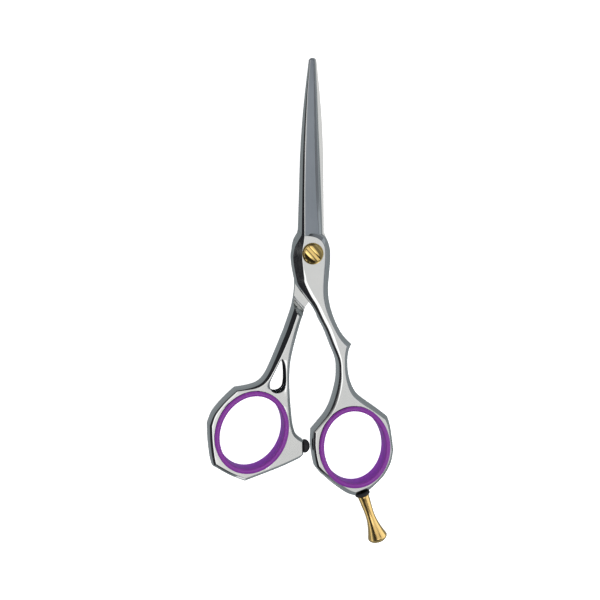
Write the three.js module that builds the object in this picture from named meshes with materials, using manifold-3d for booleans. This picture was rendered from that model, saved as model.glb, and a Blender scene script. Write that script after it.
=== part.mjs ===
// A pair of hairdressing shears, 5.5 inch class, closed and lying flat. Millimetres, +Z up.
// The origin is on the pivot axis at the plane the shears lie on. +Y runs to the blade tips,
// +X to the finger ring, and +Z is the side with the screw head.
import * as THREE from "three";
import { mergeVertices } from "three/addons/utils/BufferGeometryUtils.js";
import Module from "manifold-3d";

const wasm = await Module();
wasm.setup();

// Driving dimensions.
const THICKNESS = 5.9; // shanks and rings, flat to flat
const LAYER = 2.8; // one half where the two cross
const GAP = 0.3; // between pieces that touch
const CHAMFER = 1.0; // outer edges of the handles, width
const CHAMFER_DEPTH = 1.1; // the same, height
const FINGER_RUN = 2.5; // length of the finger half's ramp from one layer to full thickness
const THUMB_RUN = 3.0; // the same on the thumb half
const BEYOND = 60; // how far a cutter runs past what it cuts
const UNDER_HEAD = 6.15; // underside of the screw's head
const SPRING_SEAT = 4.9; // floor of the spring's pocket
const TIP_Y = 61; // the blades' ends
const ROOT_Y = 3; // where a blade starts, inside its ride
const RING_HOLE = [10.9, 12.8]; // half width and half length of a finger hole
const LIP = 0.85; // how far an insert's lip reaches over the ring
const INSERT_WALL = 0.5;
const LIP_HEIGHT = 0.75;
const HEAD_RADIUS = 3.42; // tension screw
const HEAD_HEIGHT = 1.15;
const SLOT_WIDTH = 0.9;
const SLOT_DEPTH = 0.5;
const SLOT_ANGLE = -48; // degrees
const SHANK_RADIUS = 1.9;
const THREAD_RADIUS = 1.5;
const BUSH = { inner: 2.2, outer: 2.8, length: 1.8 };
const SPRING = { inner: 2.2, outer: 3.2, height: 0.65 };
const GLIDE = { inner: 2.2, outer: 4.2, height: 0.3 };
const LOCK_RING = { inner: 1.8, outer: 2.4, height: 0.6 };
const TANG_AXIS_Z = 3.35;
const STUD_RADIUS = 1.0;
const STUD_DEPTH = 2.0;
const WASHER = { outer: 2.45, height: 0.6 };
const BUMPER = { radius: 2.2, height: 2.15, stem: 1.1, stemLength: 2.6 };

const UPPER_FLOOR = LAYER + GAP; // underside of the half that carries the screw head
const STEEL = { color: 0xb9bdc0, roughness: 0.18, metalness: 1 };
const GOLD = { color: 0xd6b25a, roughness: 0.2, metalness: 1 };
const PURPLE = { color: 0x7a3a93, roughness: 0.45, metalness: 0 };
const BLACK = { color: 0x151517, roughness: 0.6, metalness: 0 };
const NYLON = { color: 0xe9e6dc, roughness: 0.5, metalness: 0 };

// ---- Solids ----

// A closed three.js geometry as a solid for joining and cutting.
function solid(geometry) {
  const bare = geometry.clone();
  bare.deleteAttribute("normal");
  bare.deleteAttribute("uv");
  const merged = mergeVertices(bare, 1e-4);
  return new wasm.Manifold(
    new wasm.Mesh({
      numProp: 3,
      vertProperties: merged.attributes.position.array,
      triVerts: new Uint32Array(merged.index.array),
    }),
  );
}

// A solid back as a geometry.
function surface(made) {
  const mesh = made.getMesh();
  const geometry = new THREE.BufferGeometry();
  geometry.setAttribute("position", new THREE.BufferAttribute(mesh.vertProperties, 3));
  geometry.setIndex(new THREE.BufferAttribute(mesh.triVerts, 1));
  geometry.computeVertexNormals();
  return geometry;
}

// A turned solid about Z: the profile is a loop of [radius, z] pairs, clockwise from the top.
function turned(profile, segments = 32) {
  const loop = [...profile, profile[0]].map(([r, z]) => new THREE.Vector2(r, z)).reverse();
  return new THREE.LatheGeometry(loop, segments).rotateX(Math.PI / 2);
}

// A plain sleeve or washer about Z.
function sleeve(inner, outer, low, high, segments = 32) {
  return turned([[inner, high], [outer, high], [outer, low], [inner, low]], segments);
}

// A plain disc or hole about Z.
function disc(radius, low, high, segments = 32) {
  const made = new THREE.CylinderGeometry(radius, radius, high - low, segments);
  return made.rotateX(Math.PI / 2).translate(0, 0, (low + high) / 2);
}

// A closed outline from stretches that meet at corners: three points or more make a smooth curve,
// two make a straight line. STEP is the length of its short sides.
function outline(stretches, step = 1.8) {
  const points = stretches.flatMap((stretch) => {
    const ends = stretch.map(([x, y]) => new THREE.Vector2(x, y));
    if (ends.length === 2) return [ends[0]];
    const curve = new THREE.SplineCurve(ends);
    const count = Math.max(3, Math.round(curve.getLength() / step));
    return curve.getSpacedPoints(count).slice(0, -1);
  });
  return new THREE.Shape(points);
}

// A plate of that outline, chamfered along both faces.
function plate(shape, chamfer = CHAMFER, depth = CHAMFER_DEPTH) {
  return new THREE.ExtrudeGeometry(shape, {
    depth: THICKNESS - 2 * depth,
    bevelEnabled: true,
    bevelThickness: depth,
    bevelSize: chamfer,
    bevelOffset: -chamfer,
    bevelSegments: 1,
    steps: 1,
  }).translate(0, 0, depth);
}

// A prism of a side view: pairs of [distance, height], the distance measured from START across the
// line from START to END, which it follows a little past both ends.
function sideCut(start, end, profile) {
  const along = new THREE.Vector2(end[0] - start[0], end[1] - start[1]);
  const made = new THREE.ExtrudeGeometry(
    new THREE.Shape(profile.map(([d, z]) => new THREE.Vector2(d, z))),
    { depth: along.length() + 2 * BEYOND, bevelEnabled: false },
  );
  const direction = new THREE.Vector3(along.x, along.y, 0).normalize();
  const across = new THREE.Vector3(-direction.y, direction.x, 0);
  const up = new THREE.Vector3(0, 0, 1);
  const basis = new THREE.Matrix4().makeBasis(across, up, direction.clone());
  if (basis.determinant() < 0) throw new Error("the side view is mirrored");
  made.applyMatrix4(basis);
  return made.translate(start[0] - direction.x * BEYOND, start[1] - direction.y * BEYOND, 0);
}

// A ring-shaped solid round an ellipse: the profile is a loop of [offset from the ellipse, z]
// pairs, clockwise from the top.
function ellipseRing([halfWidth, halfLength], profile, place, segments = 44) {
  const positions = [];
  const index = [];
  for (let i = 0; i < segments; i++) {
    const t = (2 * Math.PI * i) / segments;
    for (const [offset, z] of profile) {
      positions.push((halfWidth + offset) * Math.cos(t), (halfLength + offset) * Math.sin(t), z);
    }
  }
  const n = profile.length;
  for (let i = 0; i < segments; i++) {
    for (let j = 0; j < n; j++) {
      const a = i * n + j;
      const b = ((i + 1) % segments) * n + j;
      const c = ((i + 1) % segments) * n + ((j + 1) % n);
      const d = i * n + ((j + 1) % n);
      index.push(a, c, b, a, d, c);
    }
  }
  const made = new THREE.BufferGeometry();
  made.setAttribute("position", new THREE.Float32BufferAttribute(positions, 3));
  made.setIndex(index);
  return made.applyMatrix4(place);
}

// A plug that fills an ellipse, for cutting a finger hole with a countersink at the bottom.
function ellipsePlug([halfWidth, halfLength], rims, place, segments = 44) {
  const positions = [];
  const index = [];
  for (const [offset, z] of rims) {
    for (let i = 0; i < segments; i++) {
      const t = (2 * Math.PI * i) / segments;
      positions.push((halfWidth + offset) * Math.cos(t), (halfLength + offset) * Math.sin(t), z);
    }
  }
  const top = (rims.length - 1) * segments;
  positions.push(0, 0, rims[0][1], 0, 0, rims[rims.length - 1][1]);
  const low = rims.length * segments;
  for (let i = 0; i < segments; i++) {
    const next = (i + 1) % segments;
    for (let k = 0; k < rims.length - 1; k++) {
      const a = k * segments;
      const b = a + segments;
      index.push(a + i, a + next, b + next, a + i, b + next, b + i);
    }
    index.push(low, next, i, low + 1, top + i, top + next);
  }
  const made = new THREE.BufferGeometry();
  made.setAttribute("position", new THREE.Float32BufferAttribute(positions, 3));
  made.setIndex(index);
  return made.applyMatrix4(place);
}

// The place of a finger hole: its centre, and the angle of its long axis from +Y.
function ringPlace(x, y, degrees) {
  const turn = new THREE.Matrix4().makeRotationZ(THREE.MathUtils.degToRad(degrees));
  return new THREE.Matrix4().makeTranslation(x, y, 0).multiply(turn);
}

const THUMB_RING = ringPlace(-19.7, -56.9, -20.8);
const FINGER_RING = ringPlace(13.95, -63.45, 9.5);

// ---- Blades ----

// The blade with the screw head over it, as curves of x along y: its back, the ridge beside the
// back, and its cutting edge.
const curve = (pairs) => new THREE.SplineCurve(pairs.map(([y, x]) => new THREE.Vector2(y, x)));
const BACK = curve([[0, -4.5], [7.5, -4.25], [20, -3.85], [30, -3.55], [40, -2.95], [50, -2.0], [60, -0.8]]);
const RIDGE = curve([[0, -2.6], [7.5, -2.5], [20, -2.4], [30, -2.15], [40, -1.75], [50, -1.3], [60, -0.5]]);
const EDGE = curve([[0, 3.8], [7.5, 3.6], [20, 3.15], [30, 2.75], [40, 2.3], [50, 1.9], [60, 1.4]]);

// The value of such a curve at y: the fraction of the curve is found by halving.
function at(line, y) {
  let low = 0;
  let high = 1;
  for (let i = 0; i < 30; i++) {
    const middle = (low + high) / 2;
    if (line.getPoint(middle).x < y) low = middle;
    else high = middle;
  }
  return line.getPoint(low).y;
}

const ridgeHeight = (y) => 5.85 - 1.95 * Math.pow(Math.max(0, y - 5) / (TIP_Y - 5), 0.8);

// The section of the blade at y: from the underside of the back, over the ridge, to the cutting
// edge and back along the flat inner face. The tip is drawn in along a round.
function bladeSection(y) {
  const inFromTip = TIP_Y - Math.min(y, TIP_Y - 0.02);
  const round = inFromTip < 1 ? Math.sqrt(1 - (1 - inFromTip) ** 2) : 1;
  const middle = 0.45;
  const draw = (x) => middle + (x - middle) * round;
  const held = Math.min(y, TIP_Y - 1);
  const back = at(BACK, held);
  const ridge = at(RIDGE, held);
  const edge = at(EDGE, held);
  const top = UPPER_FLOOR + (ridgeHeight(held) - UPPER_FLOOR) * (0.4 + 0.6 * round);
  const fall = top - UPPER_FLOOR;
  return [
    [draw(back), UPPER_FLOOR],
    [draw(back), UPPER_FLOOR + 0.2 * fall],
    [draw(back + 0.5 * (ridge - back)), top - 0.2 * fall],
    [draw(ridge), top],
    [draw(ridge + 0.6 * (edge - ridge)), top - 0.28 * fall],
    [draw(ridge + 0.84 * (edge - ridge)), top - 0.5 * fall],
    [draw(edge), UPPER_FLOOR + 0.12 * fall],
    [draw(edge), UPPER_FLOOR],
  ];
}

// The blade's solid through its sections. PLACE maps a section's point to space.
function blade(place) {
  const stations = [ROOT_Y, 7.5, 14, 20, 26, 32, 38, 44, 50, 55, 58.5, 60, 60.4, 60.75, 60.95];
  const positions = [];
  const index = [];
  const n = bladeSection(ROOT_Y).length;
  stations.forEach((y) => bladeSection(y).forEach(([x, z]) => positions.push(...place(x, y, z))));
  for (let i = 0; i < stations.length - 1; i++) {
    for (let j = 0; j < n; j++) {
      const a = i * n + j;
      const d = i * n + ((j + 1) % n);
      index.push(a, d + n, a + n, a, d, d + n);
    }
  }
  const last = (stations.length - 1) * n;
  for (let j = 1; j < n - 1; j++) {
    index.push(0, j + 1, j, last, last + j, last + j + 1);
  }
  const made = new THREE.BufferGeometry();
  made.setAttribute("position", new THREE.Float32BufferAttribute(positions, 3));
  made.setIndex(index);
  return made;
}

// The closed pair's middle line leans a little to +X towards the tip; the lower blade is the upper
// one turned over about it.
const middleLine = (y) => 0.05 + 0.0094 * (y - 10);
const upperBlade = () => solid(blade((x, y, z) => [x, y, z]));
const lowerBlade = () => solid(blade((x, y, z) => [2 * middleLine(y) - x, y, THICKNESS - z]));

// ---- The two halves ----

const FINGER_OUTLINE = [
  [[-4.6, 6.0], [-0.8, 6.2], [2.0, 6.0], [4.2, 5.4]],
  [
    [4.2, 5.4], [5.1, 4.0], [5.75, 2.2], [6.1, 0], [6.05, -3], [5.75, -7], [5.45, -11],
    [5.6, -14.5], [6.3, -18], [7.6, -21.8], [9.3, -25.3], [11.1, -27.8], [13.1, -29.8],
  ],
  [
    [13.1, -29.8], [12.3, -31.7], [11.85, -34.5], [12, -38.5], [12.8, -42], [14.3, -45.2],
    [16.6, -47.6], [21, -50.9], [25.1, -54.1],
  ],
  [[25.1, -54.1], [26.0, -57.2], [26.7, -61.5], [27.2, -65.4]],
  [[27.2, -65.4], [26.4, -69.6], [24.4, -73.5], [22, -76.1], [19.6, -78.2]],
  [[19.6, -78.2], [14.4, -80.0]],
  [[14.4, -80.0], [11.8, -79.0], [7.9, -76.2], [3.2, -72], [1.3, -69.7]],
  [[1.3, -69.7], [0.55, -66], [0.1, -62], [0.2, -57.6]],
  [
    [0.2, -57.6], [2.9, -54.5], [4.8, -52.1], [6.3, -49.2], [7.4, -45.9], [8.3, -42],
    [8.55, -38.4], [8.2, -34.7], [6.3, -29.8], [4.5, -25.2], [2.6, -21.5], [0.4, -17.4],
    [-2.1, -14.1], [-5.2, -9.8],
  ],
  [
    [-5.2, -9.8], [-5.6, -7.8], [-6.15, -5], [-6.55, -2], [-6.5, 0], [-6.0, 2.4],
    [-5.2, 4.4], [-4.6, 6.0],
  ],
];

const THUMB_OUTLINE = [
  [[-4.1, 6.2], [-1.0, 6.4], [2.0, 6.3], [4.5, 6.0]],
  [
    [4.5, 6.0], [5.2, 4.2], [5.7, 2.2], [5.9, 0], [5.7, -3.5], [5.0, -8], [2.4, -12.4],
    [-1.3, -16.9], [-3.05, -20.5], [-4.75, -26], [-6.3, -32], [-7.05, -36.5], [-7.2, -41],
    [-7.0, -46], [-6.55, -52], [-6.1, -55.5], [-5.4, -57.9], [-4.3, -59.4], [-2.8, -60.6],
  ],
  [[-2.8, -60.6], [-2.75, -65.2]],
  [[-2.75, -65.2], [-4.2, -66.6], [-9.5, -68.9], [-14, -70.5], [-21.8, -73.1]],
  [[-21.8, -73.1], [-26.8, -70.8], [-32.2, -67.4]],
  [[-32.2, -67.4], [-32.8, -64.5], [-33.35, -59.3], [-33.5, -54.1]],
  [[-33.5, -54.1], [-31.9, -50.2], [-28.6, -46.3], [-24.6, -42.7]],
  [
    [-24.6, -42.7], [-21.3, -42.3], [-18.6, -41.7], [-16.6, -40.7], [-15.1, -39],
    [-13.7, -36.5], [-11.5, -31.5], [-9.95, -27.8], [-8.6, -24.5], [-7.5, -21.4],
    [-6.5, -18.5], [-5.85, -16.1], [-5.35, -13.2], [-5.1, -10.5], [-5.2, -8], [-5.5, -5],
    [-5.9, -2], [-5.95, 0], [-5.8, 2.2], [-5.2, 4.4], [-4.1, 6.2],
  ],
];

const TEARDROP = [
  [
    [-9.9, -33.4], [-8.9, -35.4], [-8.6, -39], [-8.8, -42.4], [-9.7, -43.95], [-11.6, -44.5],
    [-13.2, -43.7], [-13.8, -42], [-13.5, -40.3], [-11.9, -37], [-10.75, -34.2], [-9.9, -33.4],
  ],
];

// The lines where each half starts to rise to its full thickness, left to right.
const THUMB_STEP = [[-5.7, -13.3], [-2.0, -17.6]];
const FINGER_STEP = [[1.6, -19.6], [6.6, -15.4]];

// A finger hole, opened at the bottom for the insert's catch.
function fingerHole(place) {
  const rims = [[0.9, -1], [0.9, 0], [0, 0.9], [0, THICKNESS + 1]];
  return solid(ellipsePlug(RING_HOLE, rims, place));
}

// The tang's seat: the middle of the ring's flat, its outward direction, and a frame with Z there.
const SEAT = new THREE.Vector3(17.0, -79.1, TANG_AXIS_Z);
const SEAT_OUT = new THREE.Vector3(1.8, -5.2, 0).normalize();
function onSeat(geometry) {
  const turn = new THREE.Quaternion().setFromUnitVectors(new THREE.Vector3(0, 0, 1), SEAT_OUT);
  return geometry.applyQuaternion(turn).translate(SEAT.x, SEAT.y, SEAT.z);
}

function fingerHalf() {
  const [start, end] = FINGER_STEP;
  const under = sideCut(start, end, [
    [BEYOND, -1], [BEYOND, UPPER_FLOOR], [0, UPPER_FLOOR], [-FINGER_RUN, 0], [-FINGER_RUN, -1],
  ]);
  const studHole = onSeat(disc(STUD_RADIUS + GAP, -STUD_DEPTH - GAP, 1, 20));
  return solid(plate(outline(FINGER_OUTLINE)))
    .subtract(solid(under))
    .add(upperBlade())
    .subtract(fingerHole(FINGER_RING))
    .subtract(solid(disc(BUSH.outer + GAP, 0, THICKNESS + 1)))
    .subtract(solid(disc(SPRING.outer + GAP, SPRING_SEAT, THICKNESS + 1)))
    .subtract(solid(studHole));
}

function thumbHalf() {
  const [start, end] = THUMB_STEP;
  const over = sideCut(start, end, [
    [BEYOND, LAYER], [BEYOND, THICKNESS + 1], [-THUMB_RUN, THICKNESS + 1],
    [-THUMB_RUN, THICKNESS], [0, LAYER],
  ]);
  const drop = new THREE.ExtrudeGeometry(outline(TEARDROP, 1.2), {
    depth: THICKNESS + 2,
    bevelEnabled: false,
  }).translate(0, 0, -1);
  const stemHole = onBoss(disc(BUMPER.stem + GAP, -BUMPER.stemLength - GAP, 1, 20));
  return solid(plate(outline(THUMB_OUTLINE)))
    .subtract(solid(over))
    .add(lowerBlade())
    .subtract(fingerHole(THUMB_RING))
    .subtract(solid(drop))
    .subtract(solid(disc(THREAD_RADIUS + GAP, -1, THICKNESS)))
    .subtract(solid(disc(GLIDE.outer + GAP, LAYER - 2 * GLIDE.height, THICKNESS)))
    .subtract(solid(disc(LOCK_RING.outer + GAP, -1, LOCK_RING.height + GAP * 1.5)))
    .subtract(solid(stemHole));
}

// ---- Small pieces ----

// The pivot and tension screw: a domed slotted head, a plain shank and a threaded end.
function pivotScrew() {
  const top = UNDER_HEAD + HEAD_HEIGHT;
  const body = turned(
    [
      [0, top], [1.6, top - 0.08], [2.75, top - 0.28], [HEAD_RADIUS, top - 0.7],
      [HEAD_RADIUS, UNDER_HEAD], [SHANK_RADIUS, UNDER_HEAD], [SHANK_RADIUS, LAYER - GAP],
      [THREAD_RADIUS, LAYER - GAP], [THREAD_RADIUS, 0], [0, 0],
    ],
    40,
  );
  const slot = new THREE.BoxGeometry(3 * HEAD_RADIUS, SLOT_WIDTH, 2 * SLOT_DEPTH)
    .rotateZ(THREE.MathUtils.degToRad(SLOT_ANGLE))
    .translate(0, 0, top);
  return solid(body).subtract(solid(slot));
}

// A spring washer, slightly coned so that it presses the head up.
function tensionSpring() {
  const low = SPRING_SEAT + GAP;
  const { inner, outer, height } = SPRING;
  return turned([[inner, low + height], [outer, low + 0.35], [outer, low], [inner, low + 0.3]]);
}

// The insert of a finger ring: a sleeve with a rounded lip on top and a catch at the bottom.
function ringInsert(place) {
  const top = THICKNESS + GAP;
  const inner = -GAP - INSERT_WALL;
  return ellipseRing(
    RING_HOLE,
    [
      [inner + 0.25, top + LIP_HEIGHT * 0.85], [inner + 0.85, top + LIP_HEIGHT],
      [LIP - 0.35, top + LIP_HEIGHT * 0.75], [LIP, top + 0.2], [LIP - 0.1, top], [-GAP, top],
      [-GAP, 0.9], [0.2, 0.35], [0.1, 0.15], [inner + 0.2, 0.15], [inner, 0.5], [inner, top],
    ],
    place,
  );
}

// The bumper's seat on the end of the boss, facing the finger ring.
const BOSS = new THREE.Vector3(-2.78, -62.9, THICKNESS / 2);
function onBoss(geometry) {
  return geometry.rotateY(Math.PI / 2).translate(BOSS.x, BOSS.y, BOSS.z);
}

function bumper() {
  const { radius, height, stem, stemLength } = BUMPER;
  const profile = [[0, height + 0.3]];
  for (let degrees = 70; degrees >= 0; degrees -= 17.5) {
    const a = THREE.MathUtils.degToRad(degrees);
    profile.push([radius * Math.cos(a), 0.75 + (height - 0.45) * Math.sin(a)]);
  }
  profile.push([radius, GAP], [stem, GAP], [stem, -stemLength], [0, -stemLength]);
  return onBoss(turned(profile, 24));
}

// The tang: a trumpet from a narrow waist to a flared, domed end, with a threaded stud.
function tang() {
  const start = WASHER.height + 2 * GAP;
  const side = new THREE.SplineCurve(
    [
      [1.9, start], [1.7, 4], [1.5, 8], [1.75, 11], [2.45, 14], [3.15, 16.1],
    ].map(([r, s]) => new THREE.Vector2(r, s)),
  ).getSpacedPoints(10);
  const end = [[3.2, 16.5], [2.95, 17.1], [2.25, 17.75], [1.2, 18.15], [0, 18.3]];
  const profile = [
    [0, -STUD_DEPTH], [STUD_RADIUS, -STUD_DEPTH], [STUD_RADIUS, start],
    ...side.map((p) => [p.x, p.y]), ...end,
  ];
  return onSeat(turned(profile.reverse(), 28));
}

function tangWasher() {
  return onSeat(sleeve(STUD_RADIUS + GAP, WASHER.outer, GAP, GAP + WASHER.height, 28));
}

// ---- The assembly ----

const shears = new THREE.Group();

function add(name, geometry, look) {
  const mesh = new THREE.Mesh(geometry, new THREE.MeshStandardMaterial(look));
  mesh.name = name;
  shears.add(mesh);
}

add("thumb_half", surface(thumbHalf()), STEEL);
add("finger_half", surface(fingerHalf()), STEEL);
add("pivot_screw", surface(pivotScrew()), GOLD);
add("tension_spring", tensionSpring(), STEEL);
add("pivot_bush", sleeve(BUSH.inner, BUSH.outer, UPPER_FLOOR, UPPER_FLOOR + BUSH.length), NYLON);
add("glide_washer", sleeve(GLIDE.inner, GLIDE.outer, LAYER - GLIDE.height, LAYER), NYLON);
add("thread_lock_ring", sleeve(LOCK_RING.inner, LOCK_RING.outer, 0.2, 0.2 + LOCK_RING.height), NYLON);
add("thumb_ring_insert", ringInsert(THUMB_RING), PURPLE);
add("finger_ring_insert", ringInsert(FINGER_RING), PURPLE);
add("bumper", bumper(), BLACK);
add("tang", tang(), GOLD);
add("tang_washer", tangWasher(), BLACK);

export default shears;
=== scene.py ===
import bpy
import numpy as np
from mathutils import Matrix, Vector
from mathutils.geometry import delaunay_2d_cdt


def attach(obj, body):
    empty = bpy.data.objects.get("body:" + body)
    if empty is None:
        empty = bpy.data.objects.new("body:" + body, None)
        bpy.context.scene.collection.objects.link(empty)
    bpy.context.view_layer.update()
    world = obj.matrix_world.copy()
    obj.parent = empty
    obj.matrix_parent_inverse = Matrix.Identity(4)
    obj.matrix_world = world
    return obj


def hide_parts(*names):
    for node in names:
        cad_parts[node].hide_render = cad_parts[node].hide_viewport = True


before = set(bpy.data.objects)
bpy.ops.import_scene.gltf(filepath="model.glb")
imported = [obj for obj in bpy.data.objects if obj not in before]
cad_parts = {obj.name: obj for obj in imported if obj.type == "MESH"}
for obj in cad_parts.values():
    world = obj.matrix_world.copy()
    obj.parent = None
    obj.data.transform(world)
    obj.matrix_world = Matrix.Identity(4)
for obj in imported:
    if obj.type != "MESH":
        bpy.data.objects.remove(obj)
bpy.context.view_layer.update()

# Camera.
# It looks down on the shears from over their upper left, with a long lens, as on a copy stand.
scene = bpy.context.scene
MM = 0.001
toward = np.array([-0.20, 0.17, 1.0]) / np.linalg.norm([-0.20, 0.17, 1.0])
right = np.cross([0.0, 1.0, 0.0], toward)
right /= np.linalg.norm(right)
upward = np.cross(toward, right)
aim = np.array([-3.5, -15.15, 3.0]) * MM
DISTANCE = 520 * MM
spot = aim + DISTANCE * toward
camera = bpy.data.objects.new("camera", bpy.data.cameras.new("camera"))
camera.data.lens = 98.27
camera.data.sensor_width = 36
camera.data.clip_start = 0.01
camera.matrix_world = Matrix([[*row, place] for row, place in zip(
    np.column_stack([right, upward, toward]).tolist(), spot.tolist())] + [[0, 0, 0, 1]])
scene.collection.objects.link(camera)
scene.camera = camera

# Floor and light.
# A plain pale table, one soft box overhead, and a room that is dark beside the soft box and grey at
# the horizon, so that polished steel shows its facets. Two small cards either side of the tang are
# seen only in reflections, mostly in its plating.
scene.view_settings.view_transform = "Standard"
scene.view_settings.look = "None"


def material(name, roughness, metallic=0.0, colour=None):
    """A node material with its Principled shader's plain values set, and its nodes and links."""
    made = bpy.data.materials.new(name)
    made.use_nodes = True
    shader = made.node_tree.nodes["Principled BSDF"]
    shader.inputs["Roughness"].default_value = roughness
    shader.inputs["Metallic"].default_value = metallic
    if colour:
        shader.inputs["Base Color"].default_value = (*colour, 1)
    return made, shader, made.node_tree.nodes, made.node_tree.links


def mesh_object(name, points, faces, *materials):
    """A smooth-shaded object, at the origin, from millimetre points and faces of any size."""
    data = bpy.data.meshes.new(name)
    data.from_pydata((np.asarray(points) * MM).tolist(), [], faces)
    data.polygons.foreach_set("use_smooth", np.ones(len(data.polygons), bool))
    for finish in materials:
        data.materials.append(finish)
    made = bpy.data.objects.new(name, data)
    scene.collection.objects.link(made)
    return made


table_top, table_shader, nodes, links = material("table_top", 0.9, colour=(0.80, 0.80, 0.80))
light_path = nodes.new("ShaderNodeLightPath")
bright = nodes.new("ShaderNodeEmission")
bright.inputs["Strength"].default_value = 0.83
lit = nodes.new("ShaderNodeAddShader")
seen_in_steel = nodes.new("ShaderNodeEmission")
seen_in_steel.inputs["Color"].default_value = (0.28, 0.31, 0.325, 1)
by_ray = nodes.new("ShaderNodeMixShader")
links.new(table_shader.outputs[0], lit.inputs[0])
links.new(bright.outputs[0], lit.inputs[1])
links.new(light_path.outputs["Is Glossy Ray"], by_ray.inputs[0])
links.new(lit.outputs[0], by_ray.inputs[1])
links.new(seen_in_steel.outputs[0], by_ray.inputs[2])
links.new(by_ray.outputs[0], nodes["Material Output"].inputs["Surface"])
reach = 4000
floor = mesh_object(
    "floor", [[-reach, -reach, 0], [reach, -reach, 0], [reach, reach, 0], [-reach, reach, 0]],
    [[0, 1, 2, 3]], table_top)

world = bpy.data.worlds.new("studio")
scene.world = world
world.use_nodes = True
nodes, links = world.node_tree.nodes, world.node_tree.links
direction = nodes.new("ShaderNodeTexCoord")
split = nodes.new("ShaderNodeSeparateXYZ")
room = nodes.new("ShaderNodeValToRGB")
links.new(direction.outputs["Generated"], split.inputs[0])
links.new(split.outputs["Z"], room.inputs[0])
room.color_ramp.interpolation = "EASE"
for place, shade in [
    (0.0, (0.28, 0.31, 0.33)), (0.40, (0.22, 0.245, 0.26)), (0.56, (0.028, 0.029, 0.033)),
    (0.86, (0.022, 0.022, 0.026)), (0.925, (0.85, 0.85, 0.84)), (1.0, (0.92, 0.92, 0.91)),
]:
    stop = room.color_ramp.elements[0] if place == 0 else (
        room.color_ramp.elements[-1] if place == 1 else room.color_ramp.elements.new(place))
    stop.position, stop.color = place, (*shade, 1)
lamp_side = nodes.new("ShaderNodeVectorMath")
lamp_side.operation = "DOT_PRODUCT"
lamp_side.inputs[1].default_value = (-0.10, -0.22, 0.97)
links.new(direction.outputs["Generated"], lamp_side.inputs[0])


def brightened(under, value, start, end, share, colour):
    """A colour with light added to it: none where the value is below start, and a share of the
    light's colour from end on, eased between the two."""
    rise = nodes.new("ShaderNodeMapRange")
    rise.interpolation_type = "SMOOTHSTEP"
    rise.inputs["From Min"].default_value = start
    rise.inputs["From Max"].default_value = end
    rise.inputs["To Max"].default_value = share
    links.new(value, rise.inputs["Value"])
    summed = nodes.new("ShaderNodeMix")
    summed.data_type = "RGBA"
    summed.blend_type = "ADD"
    summed.inputs["B"].default_value = (*colour, 1)
    links.new(rise.outputs[0], summed.inputs[0])
    links.new(under, summed.inputs["A"])
    return summed.outputs["Result"]


with_lamp = brightened(room.outputs[0], lamp_side.outputs["Value"], 0.968, 0.985, 0.8, (1, 1, 1))
with_window = brightened(with_lamp, split.outputs["X"], 0.15, 0.45, 0.19, (0.92, 1.0, 1.10))
background = nodes["Background"]
links.new(with_window, background.inputs["Color"])
pale = nodes.new("ShaderNodeBackground")
pale.inputs["Color"].default_value = (0.95, 0.95, 0.95, 1)
by_view = nodes.new("ShaderNodeMixShader")
light_path = nodes.new("ShaderNodeLightPath")
links.new(light_path.outputs["Is Camera Ray"], by_view.inputs[0])
links.new(background.outputs[0], by_view.inputs[1])
links.new(pale.outputs[0], by_view.inputs[2])
links.new(by_view.outputs[0], nodes["World Output"].inputs["Surface"])

soft_box = bpy.data.objects.new("soft_box", bpy.data.lights.new("soft_box", "AREA"))
soft_box.data.size = 0.5
soft_box.data.energy = 5
soft_box.location = (-0.05, 0.0, 0.8)
soft_box.visible_glossy = False
scene.collection.objects.link(soft_box)
TANG_MIDDLE = Vector((21, -90, 3))
for name, place, size, strength in [
    ("right_card", (60, -86, 24), (60, 54), 0.85), ("left_card", (-18, -114, 7), (40, 14), 0.8),
]:
    card = bpy.data.objects.new(name, bpy.data.lights.new(name, "AREA"))
    card.data.shape = "RECTANGLE"
    card.data.size, card.data.size_y = size[0] * MM, size[1] * MM
    card.data.energy = strength * np.pi * card.data.size * card.data.size_y
    card.location = Vector(place) * MM
    card.rotation_euler = (Vector(place) - TANG_MIDDLE).to_track_quat("Z", "Y").to_euler()
    card.visible_camera = card.visible_diffuse = False
    scene.collection.objects.link(card)

# Finger half.
# The upper half: blade, ride, shank and finger ring forged and ground from one piece of stainless
# steel. The handle is polished; the blade's broad face has a satin grind.
THICKNESS = 5.9
LAYER = 2.8
UPPER_FLOOR = 3.1
SOFT_EDGE = 0.14
CROWN_SLOPE = 0.13
OUTLINE_STEP = 0.35
CURVE_STEPS = 80
EASE_STEPS = 3
LOOP_WIDTHS = [*range(2, 18), *range(2, 18), *range(2, 8)]
TURNED_SIDES = 96


def smooth_run(rows, step=OUTLINE_STEP):
    """Rows evenly spaced along a Catmull-Rom curve: with a, b, c, d four neighbouring rows, half
    of 2b + (c - a)t + (2a - 5b + 4c - d)t^2 + (3b - a - 3c + d)t^3. Two rows make a straight
    line. The last row is left to the next stretch."""
    rows = np.asarray(rows, float)
    if len(rows) == 2:
        curve = rows
    else:
        padded = np.vstack([rows[0], rows, rows[-1]])
        a, b, c, d = (padded[k:len(rows) - 1 + k, None, :] for k in range(4))
        t = np.linspace(0, 1, CURVE_STEPS, endpoint=False)[None, :, None]
        curve = (2 * b + (c - a) * t + (2 * a - 5 * b + 4 * c - d) * t ** 2
                 + (3 * b - a - 3 * c + d) * t ** 3) / 2
        curve = np.vstack([curve.reshape(-1, rows.shape[1]), rows[-1]])
    along = np.concatenate([[0], np.cumsum(np.hypot(*np.diff(curve[:, :2], axis=0).T))])
    places = np.linspace(0, along[-1], max(2, round(along[-1] / step)) + 1)[:-1]
    return np.column_stack([np.interp(places, along, column) for column in curve.T])


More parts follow.
